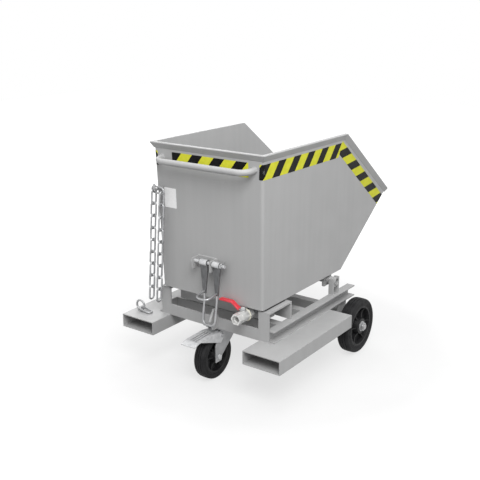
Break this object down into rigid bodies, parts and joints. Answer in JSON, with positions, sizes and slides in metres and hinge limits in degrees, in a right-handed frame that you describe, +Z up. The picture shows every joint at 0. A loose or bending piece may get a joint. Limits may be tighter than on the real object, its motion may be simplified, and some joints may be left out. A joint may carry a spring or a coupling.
{
  "type": "tipping skip trolley",
  "caption": "Forward-tipping steel skip on a wheeled frame with fork pockets, braked castor, catch, chain and drain valve.",
  "frame": {"origin": "on the floor under the middle of the trolley's box", "axes": "+X is the trolley's right as seen from behind, +Y is forward, the way it tips, +Z is up"},
  "size_m": [0.8268, 1.196, 0.987],
  "materials": {
    "grey_paint": "satin grey coating",
    "zinc": "bright zinc plating",
    "dark_zinc": "dull zinc plating",
    "nickel": "nickel plating",
    "red_plastic": "red dipped grip",
    "black_rubber": "black rubber",
    "black_tyre": "solid black tyre",
    "black_plastic": "black moulding",
    "steel": "bare steel",
    "brass": "sintered bronze"
  },
  "bodies": {
    "frame": {"fork_pocket_left": "grey_paint", "fork_pocket_right": "grey_paint", "side_rail_left": "grey_paint", "side_rail_right": "grey_paint", "skip_supports": "grey_paint", "rest_pads": "black_rubber", "back_bar": "grey_paint", "castor_bar": "grey_paint", "middle_bar": "grey_paint", "catch_ramp": "grey_paint", "chain_eye": "zinc", "anchor_link": "zinc", "pivot_forks": "grey_paint", "castor_plate": "zinc", "castor_kingpin": "zinc", "castor_bolts": "zinc", "axle": "steel", "axle_beam": "grey_paint", "axle_plates": "grey_paint", "axle_spacers": "steel", "axle_nuts": "zinc"},
    "skip": {"skip_back_wall": "grey_paint", "skip_side_left": "grey_paint", "skip_side_right": "grey_paint", "skip_floor": "grey_paint", "skip_chute": "grey_paint", "skip_rim": "grey_paint", "push_handle": "grey_paint", "catch_bracket": "grey_paint", "catch_pin": "zinc", "catch_nut": "zinc", "catch_clip": "zinc", "chain_hook": "zinc", "drain_trough": "grey_paint", "drain_screen": "steel", "drain_nipple": "zinc", "valve_body": "nickel", "pivot_tube": "grey_paint", "pivot_lugs": "grey_paint"},
    "catch": {"catch_arms": "dark_zinc", "catch_bail": "dark_zinc", "catch_pull_bow": "dark_zinc"},
    "hanging_chain": {"chain": "zinc"},
    "valve_handle": {"valve_ball": "nickel", "valve_lever": "zinc", "valve_grip": "red_plastic", "valve_nut": "zinc"},
    "castor": {"castor_fork": "zinc", "castor_axle_bolt": "zinc", "pedal_rivets": "zinc"},
    "castor_wheel": {"castor_tyre": "black_tyre", "castor_rim": "black_plastic", "castor_bush": "brass"},
    "pedal": {"brake_pedal": "zinc"},
    "wheel_left": {"wheel_tyre_left": "black_tyre", "wheel_rim_left": "black_plastic", "wheel_bearings_left": "steel"},
    "wheel_right": {"wheel_tyre_right": "black_tyre", "wheel_rim_right": "black_plastic", "wheel_bearings_right": "steel"}
  },
  "joints": [
    {"name": "skip_tip", "type": "hinge", "parent": "frame", "child": "skip", "pos_m": [0, 0.093, 0.334], "axis": [-1, 0, 0], "range_deg": [0, 65]},
    {"name": "catch_swing", "type": "hinge", "parent": "skip", "child": "catch", "pos_m": [0, -0.479, 0.523], "axis": [-1, 0, 0], "range_deg": [-2.5, 45]},
    {"name": "chain_swing", "type": "hinge", "parent": "skip", "child": "hanging_chain", "pos_m": [-0.24, -0.48077, 0.794], "axis": [0, -1, 0], "range_deg": [0, 15]},
    {"name": "valve_turn", "type": "hinge", "parent": "skip", "child": "valve_handle", "pos_m": [0.176, -0.461, 0.326], "axis": [0, 0, 1], "range_deg": [0, 90]},
    {"name": "castor_swivel", "type": "hinge", "parent": "frame", "child": "castor", "pos_m": [0, -0.378, 0.215], "axis": [0, 0, 1], "continuous": true},
    {"name": "castor_roll", "type": "hinge", "parent": "castor", "child": "castor_wheel", "pos_m": [0, -0.437, 0.1], "axis": [1, 0, 0], "continuous": true},
    {"name": "pedal_press", "type": "hinge", "parent": "castor", "child": "pedal", "pos_m": [0, -0.416, 0.192], "axis": [1, 0, 0], "range_deg": [0, 8]},
    {"name": "wheel_roll_left", "type": "hinge", "parent": "frame", "child": "wheel_left", "pos_m": [-0.365, 0.146, 0.125], "axis": [1, 0, 0], "continuous": true},
    {"name": "wheel_roll_right", "type": "hinge", "parent": "frame", "child": "wheel_right", "pos_m": [0.365, 0.146, 0.125], "axis": [1, 0, 0], "continuous": true}
  ]
}
